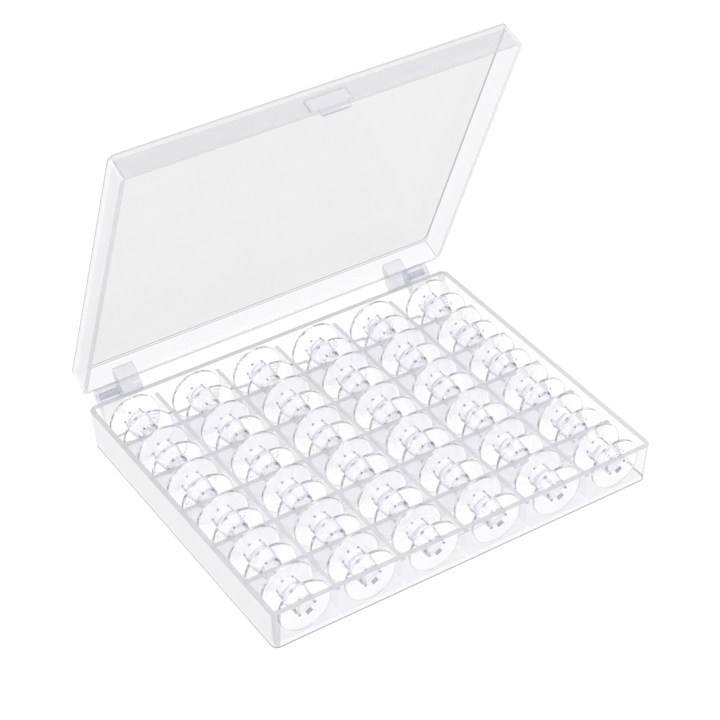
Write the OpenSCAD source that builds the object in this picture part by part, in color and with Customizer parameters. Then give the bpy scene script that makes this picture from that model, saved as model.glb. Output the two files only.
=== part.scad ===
// Storage case for sewing machine bobbins: a clear tray with a grid of
// compartments, a hinged clear lid with a snap latch, and one bobbin in
// each compartment. The lid stands partly open. Units are millimetres.
// Origin: centre of the tray's underside. Front is -Y, up is +Z.

/* [Case] */
// Outside width of the tray and the lid, left to right
case_w = 158; // [150:1:190]
// Outside depth of the tray and the lid, front to back
case_d = 129.5; // [112:0.5:160]
// Height of the tray, underside to rim
tray_h = 16.5; // [14:0.5:18]
// Height of the lid, rim to top
lid_h = 10.1; // [8.9:0.1:16]
// Thickness of the outer walls
wall = 2; // [1.6:0.1:2.4]
// Thickness of the tray's floor and of the lid's top panel
floor_t = 1.6; // [1.2:0.1:1.9]
// Thickness of the dividers that run front to back
divider_t = 1.5; // [1:0.1:1.8]
// Thickness of the dividers that run left to right
cross_divider_t = 1.9; // [1.2:0.1:2.1]
// How far the dividers stop below the tray's rim
divider_drop = 3.5; // [2:0.25:5]
// Radius of the upright corners at the rim
corner_r = 3.25; // [2.25:0.25:4]
// How much the walls lean in over the tray's height
draft = 1; // [0.3:0.1:1.3]

/* [Lid and hinge] */
// How far the lid stands open, measured from closed
lid_open = 68; // [0:1:180]
// Distance of the hinge line behind the back wall
hinge_back = 4; // [3.8:0.1:4.8]
// Distance of the hinge line below the tray's rim
hinge_drop = 0.7; // [0.3:0.1:1]
// Radius of the hinge knuckles
knuckle_r = 3.4; // [2.5:0.1:3.5]
// Radius of the hinge pins moulded on the lid
hinge_pin_r = 1.3; // [1:0.05:1.5]
// Play between a hinge pin and its hole, on the radius
hinge_play = 0.06; // [0.03:0.01:0.1]
// Width of the latch plate on the lid's front wall
latch_w = 16; // [11:0.2:22]

/* [Bobbin] */
// Outside diameter of a bobbin's flanges
bobbin_d = 20.3; // [19:0.1:20.6]
// Width of a bobbin over both flanges
bobbin_w = 11.7; // [9:0.1:12]
// Thickness of a flange
flange_t = 1.1; // [0.8:0.1:1.4]
// Outside diameter of the drum that the thread is wound on
drum_d = 8.2; // [7.8:0.1:9.4]
// Diameter of the hole through the bobbin
bobbin_bore = 6.1; // [5.8:0.05:6.2]

/* [Hidden] */
rows = 6;
columns = 6;
letters = "abcdef";
rim_gap = 0.1;
cell_w = (case_w - 2 * wall - (columns - 1) * divider_t) / columns;
cell_d = (case_d - 2 * wall - (rows - 1) * cross_divider_t) / rows;
divider_z = tray_h - divider_drop;
hinge_y = case_d / 2 + hinge_back;
hinge_z = tray_h - hinge_drop;
lug_out = case_w / 2 - 6.4;
lug_len = 8.8;
arm_gap = 0.25;
arm_len = 8;
bobbin_gap = 0.8;
slot_r = 3.9;
clear_tray = [0.90, 0.90, 0.94];
clear_lid = [0.93, 0.93, 0.95];
clear_bobbin = [0.96, 0.96, 0.98];

function bobbin_name(r, c) = str("bobbin_", letters[r], c + 1);
function cell_x(c) = -case_w / 2 + wall + cell_w / 2 + c * (cell_w + divider_t);
function cell_y(r) = case_d / 2 - wall - cell_d / 2 - r * (cell_d + cross_divider_t);

$fn = 96;

// A box with round upright corners whose walls lean in by `lean` from z = h
// down to z = 0. The flat walls and the corner cones meet edge to edge.
module leaning_box(w, d, h, r, lean) {
    rb = r - lean;
    for (sx = [-1, 1], sy = [-1, 1])
        translate([sx * (w / 2 - r), sy * (d / 2 - r), 0])
            cylinder(h = h, r1 = rb, r2 = r);
    rotate([90, 0, 0])
        translate([0, 0, -(d / 2 - r)])
            linear_extrude(d - 2 * r)
                wall_profile(w, h, lean);
    rotate([90, 0, 90])
        translate([0, 0, -(w / 2 - r)])
            linear_extrude(w - 2 * r)
                wall_profile(d, h, lean);
}

module wall_profile(w, h, lean) {
    polygon([
        [-w / 2 + lean, 0],
        [w / 2 - lean, 0],
        [w / 2, h],
        [-w / 2, h]
    ]);
}

// A cylinder along X, from x0 towards +X
module rod_x(x0, len, r) {
    translate([x0, hinge_y, hinge_z])
        rotate([0, 90, 0])
            cylinder(h = len, r = r);
}

// Profile in Y and Z, drawn along X from x0
module web_x(x0, len) {
    translate([x0, 0, 0])
        rotate([90, 0, 90])
            linear_extrude(len)
                children();
}

// The knuckle that stands behind the tray's back wall, with its hole
module tray_lug(x0) {
    difference() {
        union() {
            rod_x(x0, lug_len, knuckle_r);
            web_x(x0, lug_len)
                polygon([
                    [case_d / 2 - wall / 2, tray_h - 0.2],
                    [hinge_y, hinge_z + knuckle_r * 0.02],
                    [hinge_y + knuckle_r * 0.6, hinge_z - knuckle_r * 0.8],
                    [case_d / 2 - wall / 2, tray_h - 9.2]
                ]);
        }
        rod_x(x0 - 1, lug_len + 2, hinge_pin_r + hinge_play);
    }
}

module tray() {
    color(clear_tray)
        difference() {
            union() {
                leaning_box(case_w, case_d, tray_h, corner_r, draft);
                tray_lug(-lug_out);
                tray_lug(lug_out - lug_len);
                // low bead that the lid's latch snaps under
                translate([-latch_w / 2 + 2.6, -case_d / 2 - 0.2, tray_h - 1.6])
                    cube([latch_w - 5.2, 1, 0.5]);
            }
            // space above the dividers
            translate([-case_w / 2 + wall, -case_d / 2 + wall, divider_z])
                cube([case_w - 2 * wall, case_d - 2 * wall, tray_h]);
            // compartments
            for (r = [0:rows - 1], c = [0:columns - 1])
                translate([cell_x(c) - cell_w / 2, cell_y(r) - cell_d / 2, floor_t])
                    cube([cell_w, cell_d, tray_h]);
        }
}

// One hinge arm of the lid, drawn with the lid closed: a tab on the outside
// of the back wall, a knuckle, and a pin that points at the side `s`
module lid_arm(s) {
    x_in = lug_out - lug_len - arm_gap - arm_len;
    x0 = s > 0 ? x_in : -x_in - arm_len;
    rod_x(x0, arm_len, knuckle_r);
    web_x(x0, arm_len)
        polygon([
            [case_d / 2 - wall / 2, tray_h + rim_gap + 0.6],
            [hinge_y - knuckle_r * 0.64, hinge_z - 0.2],
            [hinge_y + knuckle_r * 0.96, hinge_z + knuckle_r * 0.28],
            [case_d / 2 + 1.6, tray_h + 5.9],
            [case_d / 2 - wall / 2, tray_h + 6.1]
        ]);
    // the pin
    pin_len = lug_len - 0.8 + arm_gap;
    rod_x(s > 0 ? x0 + arm_len - 1 : x0 + 1 - (pin_len + 1), pin_len + 1, hinge_pin_r);
}

// The latch, drawn with the lid closed: a plate on the outside of the front
// wall, and a narrower tongue that hangs over the tray with a small hook
module lid_latch() {
    y = -case_d / 2;
    z = tray_h + rim_gap;
    translate([-latch_w / 2, y - 1.6, z])
        cube([latch_w, 2.6, 5.3]);
    translate([-latch_w / 2 + 2.2, y - 1.8, z - 3.2])
        cube([latch_w - 4.4, 1.3, 4]);
    // hook under the tray's bead
    translate([0, y - 0.5, z - 2.7])
        rotate([0, 90, 0])
            translate([0, 0, -latch_w / 2 + 2.8])
                cylinder(h = latch_w - 5.6, r = 0.35, $fn = 32);
}

module lid_closed() {
    translate([0, 0, tray_h + rim_gap])
        difference() {
            // the lid's walls lean in towards its top panel
            translate([0, 0, lid_h])
                mirror([0, 0, 1])
                    leaning_box(case_w, case_d, lid_h, corner_r, draft * 0.6);
            translate([-case_w / 2 + wall, -case_d / 2 + wall, -1])
                cube([case_w - 2 * wall, case_d - 2 * wall, lid_h - floor_t + 1]);
        }
    lid_arm(-1);
    lid_arm(1);
    lid_latch();
}

module lid() {
    color(clear_lid)
        translate([0, hinge_y, hinge_z])
            rotate([-lid_open, 0, 0])
                translate([0, -hinge_y, -hinge_z])
                    lid_closed();
}

// Half section of the bobbin: radius along X, width along Y
module bobbin_profile() {
    c = 0.25;
    ro = bobbin_d / 2;
    rd = drum_d / 2;
    rb = bobbin_bore / 2;
    polygon([
        [rb, 0],
        [ro - c, 0],
        [ro, c],
        [ro, flange_t - c],
        [ro - c, flange_t],
        [rd, flange_t],
        [rd, bobbin_w - flange_t],
        [ro - c, bobbin_w - flange_t],
        [ro, bobbin_w - flange_t + c],
        [ro, bobbin_w - c],
        [ro - c, bobbin_w],
        [rb, bobbin_w]
    ]);
}

// Ring of small pockets around the hole in one flange, one of them long
module hub_pockets() {
    for (i = [1:5])
        rotate([0, 0, i * 60])
            translate([slot_r, 0, -1])
                cylinder(h = 1.85, d = 1, $fn = 32);
    translate([slot_r - 0.55, -1.25, -1])
        cube([1.1, 2.5, 1.85]);
}

// A bobbin standing on edge: axis along Y, resting on z = 0
module bobbin() {
    color(clear_bobbin)
        translate([0, -bobbin_w / 2, bobbin_d / 2])
            rotate([-90, 0, 0])
                difference() {
                    rotate_extrude()
                        bobbin_profile();
                    rotate([0, 0, 62])
                        hub_pockets();
                    translate([0, 0, bobbin_w])
                        mirror([0, 0, 1])
                            rotate([0, 0, 62])
                                hub_pockets();
                }
}

module bobbin_at(r, c) {
    y = cell_y(r) - cell_d / 2 + bobbin_gap + bobbin_w / 2;
    translate([cell_x(c), y, floor_t])
        bobbin();
}

tray();
lid();
for (r = [0:rows - 1], c = [0:columns - 1])
    bobbin_at(r, c);
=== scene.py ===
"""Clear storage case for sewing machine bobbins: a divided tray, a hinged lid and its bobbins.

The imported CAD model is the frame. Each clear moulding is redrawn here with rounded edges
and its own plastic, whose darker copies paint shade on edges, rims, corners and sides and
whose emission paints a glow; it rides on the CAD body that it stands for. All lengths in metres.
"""
import math

import bmesh
import bpy
from mathutils import Matrix, Vector


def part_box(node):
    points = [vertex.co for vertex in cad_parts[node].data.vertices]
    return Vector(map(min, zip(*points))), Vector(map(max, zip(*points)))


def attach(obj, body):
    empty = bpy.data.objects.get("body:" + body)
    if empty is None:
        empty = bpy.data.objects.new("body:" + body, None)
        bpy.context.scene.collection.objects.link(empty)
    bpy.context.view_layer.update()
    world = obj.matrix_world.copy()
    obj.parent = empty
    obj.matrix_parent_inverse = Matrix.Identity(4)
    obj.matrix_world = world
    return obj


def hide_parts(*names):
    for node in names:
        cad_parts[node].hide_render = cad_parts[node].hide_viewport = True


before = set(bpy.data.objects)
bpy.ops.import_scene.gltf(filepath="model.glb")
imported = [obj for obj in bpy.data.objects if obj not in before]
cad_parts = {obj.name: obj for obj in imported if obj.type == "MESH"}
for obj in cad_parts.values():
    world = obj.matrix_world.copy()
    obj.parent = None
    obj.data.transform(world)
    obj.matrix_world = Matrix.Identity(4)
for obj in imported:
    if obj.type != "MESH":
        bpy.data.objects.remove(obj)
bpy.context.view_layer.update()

MM = 0.001

# Sizes that part.scad sets, in mm
CASE_W, CASE_D = 158.0, 129.5
TRAY_H, LID_H = 16.5, 10.1
WALL, FLOOR_T, DIVIDER_DROP = 2.0, 1.6, 3.5
CROSS_T = 1.9               # thickness of the dividers that run from left to right
CORNER_R = 3.25
RIM_GAP = 0.1               # between the rims of the closed lid and the tray
LID_OPEN = 68.0             # degrees
HINGE_Y, HINGE_Z = CASE_D / 2 + 4.0, TRAY_H - 0.7
HINGE_X, HINGE_REACH = 60.0, 12.0   # a hinge's place to either side, and half its width
BOBBIN_D, BOBBIN_W, FLANGE_T, DRUM_D, BORE_D = 20.3, 11.7, 1.1, 8.2, 6.1
SLOT_R = 3.9                # radius of the ring of pockets round the bore

ROWS, COLUMNS = "abcdef", range(1, 7)
ROW_STEP = (CASE_D - 2 * WALL + CROSS_T) / len(ROWS)
LID_TOP = TRAY_H + RIM_GAP + LID_H  # of the closed lid
LEAN = 1.2                  # the walls lean in by nearly this much over their height
FOOT_LINE, TOP_LINE = 0.8, 1.0      # strips of painted shade along the tray's foot and the lid's top
SHARP = 40.0                # degrees an edge turns by before it is rounded


# ---------------------------------------------------------------- helpers

def link(obj):
    bpy.context.scene.collection.objects.link(obj)
    return obj


def redraw(source_node, name, materials, cuts, face_slot, roundings):
    """A copy of a CAD node with flat faces merged, materials by region and rounded edges.

    cuts lists planes (point, normal, only) that split faces so that a strip can have its own
    plastic, such as a darker copy that paints shade: only(centre, normal) picks the faces to
    split, and None splits them all.
    face_slot(centre, normal) gives a face's material number.
    roundings lists (which, width, material): which(a, b, convex) says whether an edge belongs
    to it, and material is the plastic that the rounding takes, often a darker copy that
    paints a line of shade; -1 leaves the rounding with the plastic beside it.
    Centres, edge ends a and b, points and widths are in mm.
    """
    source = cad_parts[source_node]
    bm = bmesh.new()
    bm.from_mesh(source.data)
    bm.transform(source.matrix_world)
    bmesh.ops.remove_doubles(bm, verts=bm.verts, dist=2e-6)
    bmesh.ops.dissolve_limit(
        bm, angle_limit=math.radians(0.5), verts=bm.verts, edges=bm.edges,
        use_dissolve_boundaries=False)
    for point, normal, only in cuts:
        bm.normal_update()
        geom = bm.verts[:] + bm.edges[:] + bm.faces[:]
        if only:
            faces = [f for f in bm.faces if only(f.calc_center_median() / MM, f.normal)]
            geom = list({v for f in faces for v in f.verts})
            geom += list({e for f in faces for e in f.edges}) + faces
        bmesh.ops.bisect_plane(
            bm, geom=geom, dist=2e-6, plane_co=Vector(point) * MM, plane_no=normal)
    bm.normal_update()
    for face in bm.faces:
        face.material_index = face_slot(face.calc_center_median() / MM, face.normal)
    for which, width, material in roundings:
        chosen = []
        for edge in bm.edges:
            if len(edge.link_faces) != 2 or math.degrees(edge.calc_face_angle(0.0)) < SHARP:
                continue
            a, b = (v.co / MM for v in edge.verts)
            if which(a, b, edge.is_convex):
                chosen.append(edge)
        bmesh.ops.bevel(
            bm, geom=chosen, offset=width * MM, offset_type="OFFSET", segments=2,
            profile=0.5, affect="EDGES", clamp_overlap=False, material=material)
        bm.normal_update()
    for face in bm.faces:
        face.smooth = True
    for edge in bm.edges:
        slots = {face.material_index for face in edge.link_faces}
        edge.smooth = len(slots) == 1 and edge.calc_face_angle(0.0) < math.radians(30)
    mesh = bpy.data.meshes.new(name)
    bm.to_mesh(mesh)
    bm.free()
    for mat in materials:
        mesh.materials.append(mat)
    return link(bpy.data.objects.new(name, mesh))


# ---------------------------------------------------------------- materials

def node(tree, kind, x=0, y=0, **values):
    n = tree.nodes.new(kind)
    n.location = (x, y)
    for key, value in values.items():
        setattr(n, key, value)
    return n


def sheet(name, clear, veil=0.03, grazing_veil=0.0, body=(0.93, 0.93, 0.95), gloss=1.0,
          painted_glow=0.0):
    """Clear moulded plastic seen as a thin sheet.

    clear is the light let through at each face, veil the share of it that the plastic
    scatters, grazing_veil how much that grows towards a glancing view, body the colour of
    the scattered light, painted_glow the strength of a painted glow emitted in that colour,
    and gloss the strength of the reflections. Copies with less clear and a greyer body
    paint shade on edges, rims, corners, the left walls and the lid's front wall.
    """
    mat = bpy.data.materials.new(name)
    mat.use_nodes = True
    t = mat.node_tree
    t.nodes.clear()
    link_ = t.links.new
    out = node(t, "ShaderNodeOutputMaterial", 900, 0)
    coord = node(t, "ShaderNodeTexCoord", -1300, 0)
    # cloudy unevenness of the moulding
    cloud = node(t, "ShaderNodeTexNoise", -1050, 200)
    cloud.inputs["Scale"].default_value = 45.0
    cloud.inputs["Detail"].default_value = 5.0
    link_(coord.outputs["Object"], cloud.inputs["Vector"])
    # long flow lines
    stretch = node(t, "ShaderNodeMapping", -1050, -200)
    stretch.inputs["Scale"].default_value = (14.0, 90.0, 90.0)
    link_(coord.outputs["Object"], stretch.inputs["Vector"])
    flow = node(t, "ShaderNodeTexNoise", -800, -200)
    flow.inputs["Scale"].default_value = 1.0
    flow.inputs["Detail"].default_value = 3.0
    link_(stretch.outputs["Vector"], flow.inputs["Vector"])
    bump = node(t, "ShaderNodeBump", -500, -250)
    bump.inputs["Strength"].default_value = 0.08
    bump.inputs["Distance"].default_value = 0.001
    link_(flow.outputs["Fac"], bump.inputs["Height"])
    rough = node(t, "ShaderNodeMapRange", -500, 0)
    rough.inputs["From Min"].default_value = 0.3
    rough.inputs["From Max"].default_value = 0.75
    rough.inputs["To Min"].default_value = 0.04
    rough.inputs["To Max"].default_value = 0.14
    link_(cloud.outputs["Fac"], rough.inputs["Value"])
    # light let through
    tone = node(t, "ShaderNodeMix", -500, 350, data_type="RGBA")
    tone.inputs["A"].default_value = (*clear, 1)
    tone.inputs["B"].default_value = (*(c * 0.985 for c in clear), 1)
    link_(cloud.outputs["Fac"], tone.inputs["Factor"])
    through = node(t, "ShaderNodeBsdfTransparent", 0, 300)
    link_(tone.outputs["Result"], through.inputs["Color"])
    # light scattered by the plastic, plus a painted glow that it emits in the same colour
    milk = node(t, "ShaderNodeBsdfPrincipled", 0, 100)
    milk.inputs["Base Color"].default_value = (*body, 1)
    milk.inputs["Roughness"].default_value = 0.35
    milk.inputs["Specular IOR Level"].default_value = 0.2
    milk.inputs["Emission Color"].default_value = (*body, 1)
    milk.inputs["Emission Strength"].default_value = painted_glow
    graze = node(t, "ShaderNodeLayerWeight", -500, 600)
    graze.inputs["Blend"].default_value = 0.5
    veil_map = node(t, "ShaderNodeMapRange", -250, 600, interpolation_type="SMOOTHSTEP")
    veil_map.inputs["From Min"].default_value = 0.35
    veil_map.inputs["From Max"].default_value = 0.75
    veil_map.inputs["To Min"].default_value = veil
    veil_map.inputs["To Max"].default_value = veil + grazing_veil
    link_(graze.outputs["Facing"], veil_map.inputs["Value"])
    mix_a = node(t, "ShaderNodeMixShader", 350, 200)
    link_(veil_map.outputs["Result"], mix_a.inputs["Fac"])
    link_(through.outputs["BSDF"], mix_a.inputs[1])
    link_(milk.outputs["BSDF"], mix_a.inputs[2])
    # gloss
    shine = node(t, "ShaderNodeBsdfGlossy", 350, -100)
    shine.inputs["Color"].default_value = (1, 1, 1, 1)
    link_(rough.outputs["Result"], shine.inputs["Roughness"])
    link_(bump.outputs["Normal"], shine.inputs["Normal"])
    steep = node(t, "ShaderNodeMath", 100, -350, operation="POWER")
    steep.inputs[1].default_value = 5.0
    link_(graze.outputs["Facing"], steep.inputs[0])
    amount = node(t, "ShaderNodeMath", 350, -350, operation="MULTIPLY_ADD")
    amount.inputs[1].default_value = 0.96 * gloss
    amount.inputs[2].default_value = 0.04 * gloss
    link_(steep.outputs["Value"], amount.inputs[0])
    mix_b = node(t, "ShaderNodeMixShader", 650, 0)
    link_(amount.outputs["Value"], mix_b.inputs["Fac"])
    link_(mix_a.outputs["Shader"], mix_b.inputs[1])
    link_(shine.outputs["BSDF"], mix_b.inputs[2])
    link_(mix_b.outputs["Shader"], out.inputs["Surface"])
    return mat


# painted shade: the tone that the bobbins' dark outlines are painted in
PAINTED_SHADE = (0.05, 0.05, 0.08, 1)


def solid_clear(name, tint, veil, ior=1.5, body=(0.97, 0.97, 0.98), painted_glow=0.1, painted_outline=0.0):
    """Clear plastic in the round: light bends in it, and a little of it is scattered.

    tint colours the light let through, veil is the share scattered, in the colour body, and
    painted_glow the strength of a painted glow emitted in that colour; painted_outline is how
    far the plastic darkens where it turns from view, a painted shade towards PAINTED_SHADE.
    """
    mat = bpy.data.materials.new(name)
    mat.use_nodes = True
    t = mat.node_tree
    t.nodes.clear()
    link_ = t.links.new
    out = node(t, "ShaderNodeOutputMaterial", 900, 0)
    coord = node(t, "ShaderNodeTexCoord", -1300, 0)
    cloud = node(t, "ShaderNodeTexNoise", -1050, 200)
    cloud.inputs["Scale"].default_value = 160.0
    cloud.inputs["Detail"].default_value = 4.0
    link_(coord.outputs["Object"], cloud.inputs["Vector"])
    # uneven polish
    rough = node(t, "ShaderNodeMapRange", -500, 0)
    rough.inputs["From Min"].default_value = 0.3
    rough.inputs["From Max"].default_value = 0.75
    rough.inputs["To Min"].default_value = 0.0
    rough.inputs["To Max"].default_value = 0.05
    link_(cloud.outputs["Fac"], rough.inputs["Value"])
    # faint rings left by the mould
    turned = node(t, "ShaderNodeTexWave", -800, -250, wave_type="RINGS",
                  rings_direction="Y")
    turned.inputs["Scale"].default_value = 220.0
    turned.inputs["Distortion"].default_value = 1.5
    turned.inputs["Detail"].default_value = 2.0
    link_(coord.outputs["Object"], turned.inputs["Vector"])
    bump = node(t, "ShaderNodeBump", -500, -250)
    bump.inputs["Strength"].default_value = 0.015
    bump.inputs["Distance"].default_value = 0.0005
    link_(turned.outputs["Fac"], bump.inputs["Height"])
    # painted shade: dark outlines where the plastic turns from view
    graze = node(t, "ShaderNodeLayerWeight", -800, 500)
    graze.inputs["Blend"].default_value = 0.5
    outline_shade_mask = node(t, "ShaderNodeMapRange", -550, 500)
    outline_shade_mask.inputs["From Min"].default_value = 0.48
    outline_shade_mask.inputs["From Max"].default_value = 0.72
    outline_shade_mask.inputs["To Min"].default_value = 0.0
    outline_shade_mask.inputs["To Max"].default_value = painted_outline
    link_(graze.outputs["Facing"], outline_shade_mask.inputs["Value"])
    tone = node(t, "ShaderNodeMix", -250, 450, data_type="RGBA")
    tone.inputs["A"].default_value = (*tint, 1)
    tone.inputs["B"].default_value = PAINTED_SHADE
    link_(outline_shade_mask.outputs["Result"], tone.inputs["Factor"])
    pale = node(t, "ShaderNodeMix", -250, -350, data_type="RGBA")
    pale.inputs["A"].default_value = (*body, 1)
    pale.inputs["B"].default_value = PAINTED_SHADE
    link_(outline_shade_mask.outputs["Result"], pale.inputs["Factor"])
    # light let through
    clear = node(t, "ShaderNodeBsdfPrincipled", 0, 300)
    link_(tone.outputs["Result"], clear.inputs["Base Color"])
    clear.inputs["Transmission Weight"].default_value = 1.0
    clear.inputs["IOR"].default_value = ior
    link_(rough.outputs["Result"], clear.inputs["Roughness"])
    link_(bump.outputs["Normal"], clear.inputs["Normal"])
    # light scattered by the plastic, plus a painted glow that it emits in the same colour
    milk = node(t, "ShaderNodeBsdfPrincipled", 0, -300)
    link_(pale.outputs["Result"], milk.inputs["Base Color"])
    link_(pale.outputs["Result"], milk.inputs["Emission Color"])
    milk.inputs["Roughness"].default_value = 0.3
    milk.inputs["Specular IOR Level"].default_value = 0.2
    milk.inputs["Emission Strength"].default_value = painted_glow
    share = node(t, "ShaderNodeMapRange", 0, 600)
    share.inputs["From Min"].default_value = 0.3
    share.inputs["From Max"].default_value = 0.75
    share.inputs["To Min"].default_value = veil * 0.85
    share.inputs["To Max"].default_value = veil * 1.15
    link_(cloud.outputs["Fac"], share.inputs["Value"])
    mix = node(t, "ShaderNodeMixShader", 600, 0)
    link_(share.outputs["Result"], mix.inputs["Fac"])
    link_(clear.outputs["BSDF"], mix.inputs[1])
    link_(milk.outputs["BSDF"], mix.inputs[2])
    link_(mix.outputs["Shader"], out.inputs["Surface"])
    return mat


# ---------------------------------------------------------------- tray

(TRAY_WALL, TRAY_FLOOR, TRAY_SIDE, TRAY_CORNER, TRAY_RIM, TRAY_EDGE,
 TRAY_DIVIDER, TRAY_LUG, TRAY_COLUMN) = range(9)
# the glow values here are a painted glow that the plastic emits; the darker copies paint shade
tray_materials = [
    sheet("tray_wall_plastic", (0.98, 0.98, 0.986), veil=0.04, painted_glow=0.1),
    sheet("tray_floor_plastic", (0.955, 0.955, 0.965), veil=0.02, gloss=0.5, painted_glow=0.05),
    # painted shade on the left wall only, greying further towards a glancing view
    sheet("tray_side_painted_shade", (0.95, 0.95, 0.955), veil=0.25, grazing_veil=0.7,
          body=(0.84, 0.84, 0.845), gloss=0.4),
    # painted shade on the rounded corners
    sheet("tray_corner_painted_shade", (0.80, 0.80, 0.815), veil=0.15, body=(0.7, 0.7, 0.72),
          gloss=0.5),
    # painted shade: grey bands on the rim tops, the tops of the cross dividers and the rounded
    # top edges
    sheet("tray_rim_painted_shade", (0.76, 0.765, 0.78), veil=0.7, body=(0.585, 0.59, 0.61),
          gloss=0.3),
    # painted shade: a grey line along the foot and its rounded edge
    sheet("tray_edge_painted_shade", (0.62, 0.62, 0.64), veil=0.6, body=(0.42, 0.42, 0.44), gloss=0.1),
    # a painted glow on the divider faces
    sheet("tray_divider_plastic", (0.96, 0.96, 0.965), veil=0.28, body=(0.78, 0.78, 0.80),
          gloss=0.3, painted_glow=0.27),
    sheet("tray_lug_plastic", (0.95, 0.95, 0.965), veil=0.25, body=(0.75, 0.75, 0.82),
          gloss=0.4),
    # painted shade: grey bands on the tops of the dividers that run front to back
    sheet("tray_column_painted_shade", (0.82, 0.825, 0.84), veil=0.6, body=(0.64, 0.645, 0.665),
          gloss=0.3),
]


def grid_top(c, n):
    """The tops of the dividers, from left to right and from front to back."""
    return n.z > 0.9 and abs(c.z - TRAY_H + DIVIDER_DROP) < 0.1 and abs(c.y) < CASE_D / 2


def tray_slot(c, n):
    # painted shade: a grey strip along the foot
    if c.z < FOOT_LINE and abs(n.z) < 0.5:
        return TRAY_EDGE
    if c.y > CASE_D / 2 + 0.1:
        return TRAY_LUG
    # painted shade: grey bands on the divider tops
    if grid_top(c, n):
        rows_in = (CASE_D / 2 - WALL + CROSS_T / 2 - c.y) / ROW_STEP
        on_cross_divider = abs(rows_in - round(rows_in)) <= 0.55 * CROSS_T / ROW_STEP
        return TRAY_RIM if on_cross_divider else TRAY_COLUMN
    # painted shade: grey bands on the rim tops
    if n.z > 0.9 and c.z > TRAY_H - 0.4 and abs(c.y) < CASE_D / 2:
        return TRAY_RIM
    if abs(n.z) > 0.9 and c.z < FLOOR_T + 0.2:
        return TRAY_FLOOR
    # painted shade on the rounded corners
    at_corner = abs(c.x) > CASE_W / 2 - CORNER_R and abs(c.y) > CASE_D / 2 - CORNER_R
    if at_corner and abs(n.y) > 0.7 * abs(n.x) and abs(n.z) < 0.3:
        return TRAY_CORNER
    # painted shade: only the left wall, not the right, takes the darker side copy
    if n.x < -0.7 and c.x < -CASE_W / 2 + LEAN:
        return TRAY_SIDE
    if abs(n.y) > 0.9 and abs(c.y) < CASE_D / 2 - 2.5 * WALL and abs(c.x) < CASE_W / 2:
        return TRAY_DIVIDER
    return TRAY_WALL


def tray_foot(a, b, convex):
    return convex and max(a.z, b.z) < 0.05


def tray_top(a, b, convex):
    at_back = max(a.y, b.y) > CASE_D / 2 + 0.01
    return convex and (at_back or min(a.z, b.z) > TRAY_H - DIVIDER_DROP - 0.3)


tray_cuts = [((0, 0, FOOT_LINE), (0, 0, 1), None)]
for row in range(1, len(ROWS)):
    band_front = CASE_D / 2 - WALL - row * ROW_STEP
    for y in (band_front, band_front + CROSS_T):
        tray_cuts.append(((0, y, 0), (0, 1, 0), grid_top))
# the rounded top edges take the rim's painted shade and the rounded foot edges the foot's
tray = redraw("tray", "tray_body", tray_materials, tray_cuts, tray_slot,
              [(tray_top, 0.15, TRAY_RIM), (tray_foot, 0.15, TRAY_EDGE)])
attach(tray, "tray")
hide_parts("tray")


# ---------------------------------------------------------------- lid

(LID_WALL, LID_PANEL, LID_RIM, LID_HINGE, LID_LATCH, LID_EDGE, LID_SIDE, LID_FRONT,
 LID_LINE) = range(9)
lid_materials = [
    sheet("lid_wall_plastic", (0.935, 0.935, 0.94), veil=0.05, gloss=0.4),
    sheet("lid_panel_plastic", (0.895, 0.895, 0.895), veil=0.05, gloss=0.25),
    # painted shade: a grey band on the rim
    sheet("lid_rim_painted_shade", (0.88, 0.88, 0.885), veil=0.5, body=(0.84, 0.84, 0.85),
          gloss=0.3),
    sheet("lid_hinge_plastic", (0.92, 0.92, 0.94), veil=0.25, body=(0.68, 0.68, 0.75)),
    sheet("lid_latch_plastic", (0.93, 0.93, 0.945), veil=0.25, body=(0.72, 0.72, 0.76)),
    # painted shade: dark lines in the rounded inside creases
    sheet("lid_edge_painted_shade", (0.72, 0.72, 0.73), veil=0.3, body=(0.4, 0.4, 0.41), gloss=0.1),
    # painted shade on the lid's left wall
    sheet("lid_side_painted_shade", (0.96, 0.96, 0.96), veil=0.6, body=(0.90, 0.90, 0.905),
          gloss=0.3),
    # painted shade on the lid's front wall
    sheet("lid_front_painted_shade", (0.945, 0.945, 0.955), veil=0.4, body=(0.62, 0.62, 0.64),
          gloss=0.3),
    # painted shade: a grey strip along the top of the left and front walls and on the rounded
    # top edges
    sheet("lid_line_painted_shade", (0.82, 0.82, 0.825), veil=0.6, body=(0.52, 0.52, 0.53),
          gloss=0.2),
]

# turns points in mm from the open lid to the closed one
to_closed = (Matrix.Translation(Vector((0, HINGE_Y, HINGE_Z)))
             @ Matrix.Rotation(math.radians(LID_OPEN), 4, "X")
             @ Matrix.Translation(Vector((0, -HINGE_Y, -HINGE_Z))))
turn_closed = to_closed.to_3x3()


def lid_slot(c, n):
    c, n = to_closed @ c, turn_closed @ n
    on_left, in_front = c.x < -CASE_W / 2 + LEAN, c.y < -CASE_D / 2 + LEAN
    # painted shade: the strip along the top of the left and front walls
    if (on_left or in_front) and c.z > LID_TOP - TOP_LINE and abs(n.z) < 0.5:
        return LID_LINE
    beside_arm = abs(abs(c.x) - HINGE_X) < HINGE_REACH and abs(n.y) < 0.5
    if c.y > CASE_D / 2 + 0.1 or (c.y > CASE_D / 2 - 0.1 and beside_arm):
        return LID_HINGE
    if c.y < -CASE_D / 2 - 0.1 or c.z < TRAY_H:
        return LID_LATCH
    if abs(n.z) > 0.9 and c.z > LID_TOP - FLOOR_T - 0.4:
        return LID_PANEL
    # painted shade on the rim
    if n.z < -0.9 and c.z < TRAY_H + 0.4:
        return LID_RIM
    # painted shade on the left and front walls, which the right and back walls lack
    if on_left and n.x < -0.7:
        return LID_SIDE
    if in_front and n.y < -0.7:
        return LID_FRONT
    return LID_WALL


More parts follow.
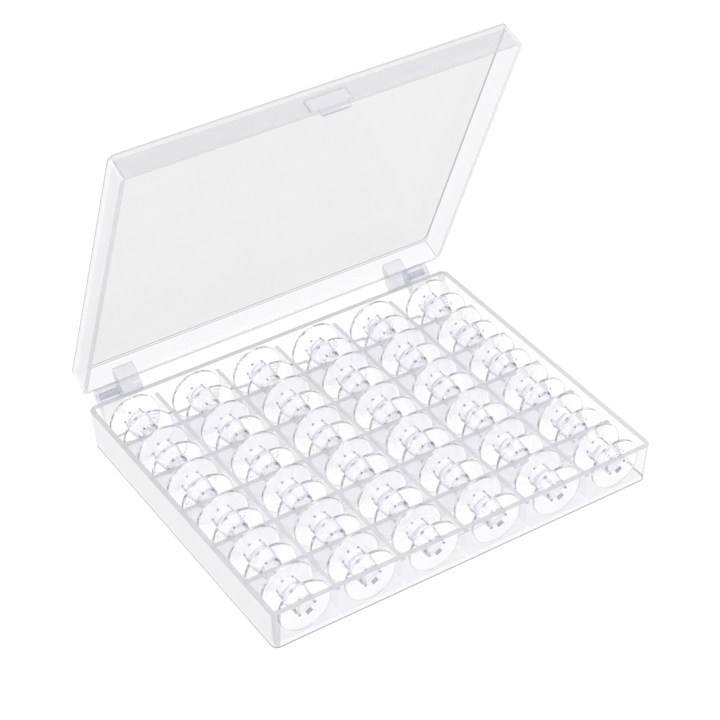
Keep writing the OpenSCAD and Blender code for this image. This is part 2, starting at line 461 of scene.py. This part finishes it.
def in_closed_lid(a, b):
    """An edge's ends with the lid turned back to closed."""
    return [to_closed @ p for p in (a, b)]


def lid_top(a, b, convex):
    a, b = in_closed_lid(a, b)
    return convex and min(a.z, b.z) > LID_TOP - 0.1


# the inside creases, rounded with a line of painted shade
def lid_inside(a, b, convex):
    a, b = in_closed_lid(a, b)
    on_shell = max(abs(a.y), abs(b.y)) < CASE_D / 2 + 0.01
    return not convex and on_shell and max(a.z, b.z) > TRAY_H + 3


def lid_rest(a, b, convex):
    a, b = in_closed_lid(a, b)
    return convex and max(a.z, b.z) < LID_TOP - TOP_LINE - 0.1


to_open = to_closed.inverted()
top_line = (to_open @ Vector((0, 0, LID_TOP - TOP_LINE)), to_open.to_3x3() @ Vector((0, 0, 1)),
            None)
# the rounded top edges take the top line's painted shade and the inside creases their own
lid = redraw("lid", "lid_body", lid_materials, [top_line], lid_slot,
             [(lid_rest, 0.2, -1), (lid_top, 0.25, LID_LINE), (lid_inside, 0.22, LID_EDGE)])
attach(lid, "lid")
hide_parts("lid")


# ---------------------------------------------------------------- bobbins

def arc(cx, cy, r, a0, a1, steps):
    """Points on an arc, angles in degrees."""
    return [
        (cx + r * math.cos(math.radians(a0 + (a1 - a0) * i / steps)),
         cy + r * math.sin(math.radians(a0 + (a1 - a0) * i / steps)))
        for i in range(steps + 1)
    ]


def bobbin_mesh():
    """One bobbin, axis along Y, centred on the origin: turned profile, then the hub pockets."""
    ro, rd, rb = BOBBIN_D / 2, DRUM_D / 2, BORE_D / 2
    h = BOBBIN_W / 2
    r_bore, r_edge, r_root = 0.2, 0.32, 0.35    # roundings
    inner = h - FLANGE_T
    half = (arc(rb + r_bore, h - r_bore, r_bore, 180, 90, 3)
            + arc(ro - r_edge, h - r_edge, r_edge, 90, 0, 4)
            + arc(ro - r_edge, inner + r_edge, r_edge, 0, -90, 4)
            + arc(rd + r_root, inner - r_root, r_root, 90, 180, 3))
    profile = half + [(r, -z) for r, z in reversed(half)]
    bm = bmesh.new()
    steps = 96
    rings = []
    for i in range(steps):
        a = 2 * math.pi * i / steps
        rings.append([
            bm.verts.new((r * MM * math.cos(a), z * MM, r * MM * math.sin(a)))
            for r, z in profile
        ])
    n = len(profile)
    for i in range(steps):
        a, b = rings[i], rings[(i + 1) % steps]
        for j in range(n):
            k = (j + 1) % n
            bm.faces.new((a[j], a[k], b[k], b[j]))
    bmesh.ops.recalc_face_normals(bm, faces=bm.faces)
    mesh = bpy.data.meshes.new("bobbin")
    bm.to_mesh(mesh)
    bm.free()
    body = link(bpy.data.objects.new("bobbin_master", mesh))

    # pockets round the hole in both flanges, one of them long
    bm = bmesh.new()
    for side in (-1, 1):
        for i in range(6):
            a = math.radians(-62 + 60 * i)
            place = Matrix.Translation((SLOT_R * MM * math.cos(a), side * BOBBIN_W / 2 * MM,
                                        SLOT_R * MM * math.sin(a)))
            turn = Matrix.Rotation(-a, 4, "Y")
            if i == 0:
                size = Matrix.Diagonal((1.1 * MM, 1.7 * MM, 2.5 * MM, 1))
                bmesh.ops.create_cube(bm, size=1, matrix=place @ turn @ size)
            else:
                lie = Matrix.Rotation(math.radians(90), 4, "X")
                bmesh.ops.create_cone(bm, cap_ends=True, segments=20, radius1=0.5 * MM,
                                      radius2=0.5 * MM, depth=1.7 * MM,
                                      matrix=place @ lie)
    cut_mesh = bpy.data.meshes.new("pockets")
    bm.to_mesh(cut_mesh)
    bm.free()
    cutter = link(bpy.data.objects.new("pockets", cut_mesh))
    mod = body.modifiers.new("cut", "BOOLEAN")
    mod.operation = "DIFFERENCE"
    mod.solver = "EXACT"
    mod.object = cutter
    dg = bpy.context.evaluated_depsgraph_get()
    done = bpy.data.meshes.new_from_object(body.evaluated_get(dg))
    bpy.data.objects.remove(body)
    bpy.data.objects.remove(cutter)
    done.shade_smooth()
    done.set_sharp_from_angle(angle=math.radians(35))
    done.name = "bobbin"
    return done


BOB_FACE, BOB_RIM, BOB_DRUM, BOB_BORE, BOB_POCKET = range(5)
bobbin_materials = [
    # a painted glow whitens the flanges
    solid_clear("bobbin_flange_painted_glow", (1.0, 1.0, 1.0), veil=0.08, painted_glow=0.86),
    # painted shade: a greyer rim with dark outlines where it turns from view
    solid_clear("bobbin_rim_painted_shade", (0.86, 0.86, 0.87), veil=0.0, painted_glow=0.0, painted_outline=0.5),
    # painted shade: dark outlines on the drum, with a faint painted glow
    solid_clear("bobbin_drum_painted_shade_and_glow", (0.94, 0.935, 0.975), veil=0.28, body=(0.84, 0.83, 0.93),
                painted_glow=0.22, painted_outline=0.75),
    # a painted glow whitens the bore
    solid_clear("bobbin_bore_painted_glow", (0.98, 0.98, 0.99), veil=0.15, ior=1.05, painted_glow=0.6),
    # painted shade: dark pockets round the bore
    solid_clear("bobbin_pocket_painted_shade", (0.5, 0.5, 0.53), veil=0.5, body=(0.2, 0.2, 0.23),
                painted_glow=0.0),
]
master = bobbin_mesh()
master.materials.clear()
for mat in bobbin_materials:
    master.materials.append(mat)
for face in master.polygons:
    radius = math.hypot(face.center.x, face.center.z) / MM
    depth = BOBBIN_W / 2 - abs(face.center.y) / MM
    # the rim and drum take the painted dark outlines
    if radius > BOBBIN_D / 2 - 0.4:
        face.material_index = BOB_RIM
    # painted shade in the pockets
    elif 0.02 < depth < 0.95 and SLOT_R - 0.65 < radius < SLOT_R + 0.9:
        face.material_index = BOB_POCKET
    elif radius > DRUM_D / 2 + 0.03:
        face.material_index = BOB_FACE
    elif radius > DRUM_D / 2 - 0.2 and abs(face.normal.y) < 0.9:
        face.material_index = BOB_DRUM
    else:
        face.material_index = BOB_BORE
for letter in ROWS:
    for column in COLUMNS:
        name = f"bobbin_{letter}{column}"
        lo, hi = (Vector(v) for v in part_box(name))
        piece = link(bpy.data.objects.new(f"{name}_body", master))
        piece.location = (lo + hi) / 2
        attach(piece, name)
        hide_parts(name)


# ---------------------------------------------------------------- floor, light and camera

bm = bmesh.new()
bmesh.ops.create_grid(bm, x_segments=4, y_segments=4, size=3.0)
floor_mesh = bpy.data.meshes.new("floor")
bm.to_mesh(floor_mesh)
bm.free()
floor = link(bpy.data.objects.new("floor", floor_mesh))
floor.location.z = -0.0002
paper = bpy.data.materials.new("white_paper")
paper.use_nodes = True
pb = paper.node_tree.nodes["Principled BSDF"]
pb.inputs["Base Color"].default_value = (0.2, 0.2, 0.2, 1)
pb.inputs["Roughness"].default_value = 0.9
pb.inputs["Specular IOR Level"].default_value = 0.0
pb.inputs["Emission Color"].default_value = (1, 1, 1, 1)
pb.inputs["Emission Strength"].default_value = 0.88
floor_mesh.materials.append(paper)

scene = bpy.context.scene
world = bpy.data.worlds.new("studio")
scene.world = world
world.use_nodes = True
wt = world.node_tree
wt.nodes.clear()
w_out = node(wt, "ShaderNodeOutputWorld", 900, 0)
w_mix = node(wt, "ShaderNodeMixShader", 700, 0)
w_white = node(wt, "ShaderNodeBackground", 450, -150)
w_white.inputs["Color"].default_value = (1, 1, 1, 1)
w_white.inputs["Strength"].default_value = 1.0
w_room = node(wt, "ShaderNodeBackground", 450, 100)
w_path = node(wt, "ShaderNodeLightPath", 450, 400)
w_coord = node(wt, "ShaderNodeTexCoord", -400, 0)
w_split = node(wt, "ShaderNodeSeparateXYZ", -200, 0)
w_ramp = node(wt, "ShaderNodeValToRGB", 0, 0)
wt.links.new(w_coord.outputs["Generated"], w_split.inputs["Vector"])
wt.links.new(w_split.outputs["Z"], w_ramp.inputs["Fac"])
ramp = w_ramp.color_ramp
ramp.elements[0].position = 0.0
ramp.elements[0].color = (0.03, 0.03, 0.04, 1)
ramp.elements[1].position = 0.75
ramp.elements[1].color = (1.0, 1.0, 1.0, 1)
for height, grey in ((0.10, 0.12), (0.22, 0.62)):
    stop = ramp.elements.new(height)
    stop.color = (grey, grey, grey * 1.06, 1)
wt.links.new(w_ramp.outputs["Color"], w_room.inputs["Color"])
w_room.inputs["Strength"].default_value = 1.0
wt.links.new(w_path.outputs["Is Camera Ray"], w_mix.inputs["Fac"])
wt.links.new(w_room.outputs["Background"], w_mix.inputs[1])
wt.links.new(w_white.outputs["Background"], w_mix.inputs[2])
wt.links.new(w_mix.outputs["Shader"], w_out.inputs["Surface"])


def softbox(name, place, aim, size, power):
    data = bpy.data.lights.new(name, "AREA")
    data.shape = "RECTANGLE"
    data.size, data.size_y = size
    data.energy = power
    lamp = link(bpy.data.objects.new(name, data))
    lamp.location = place
    lamp.rotation_euler = (Vector(aim) - Vector(place)).to_track_quat("-Z", "Y").to_euler()
    return lamp


softbox("key_softbox", (-0.5, -0.3, 1.1), (0, 0, 0.03), (0.9, 0.7), 5.0)
softbox("fill_softbox", (0.8, -0.4, 0.9), (0, 0, 0.03), (0.8, 0.8), 3.0)

cam_data = bpy.data.cameras.new("camera")
cam = link(bpy.data.objects.new("camera", cam_data))
cam_data.sensor_width = 36.0
cam_data.lens = 109.241
cam_data.clip_start = 0.01
cam_data.clip_end = 20.0
azimuth, elevation, roll = math.radians(-32.729), math.radians(37.59), math.radians(-0.563)
back = Vector((math.sin(azimuth) * math.cos(elevation),
               -math.cos(azimuth) * math.cos(elevation), math.sin(elevation)))
right = Vector((math.cos(azimuth), math.sin(azimuth), 0.0))
up = back.cross(right)
right_r = right * math.cos(roll) + up * math.sin(roll)
up_r = up * math.cos(roll) - right * math.sin(roll)
turn = Matrix((right_r, up_r, back)).transposed().to_4x4()
cam.matrix_world = Matrix.Translation((-0.33009, -0.50964, 0.51393)) @ turn
scene.camera = cam

scene.view_settings.view_transform = "Standard"
scene.view_settings.look = "None"
scene.cycles.max_bounces = 32
scene.cycles.transmission_bounces = 32
scene.cycles.glossy_bounces = 8
scene.cycles.transparent_max_bounces = 32
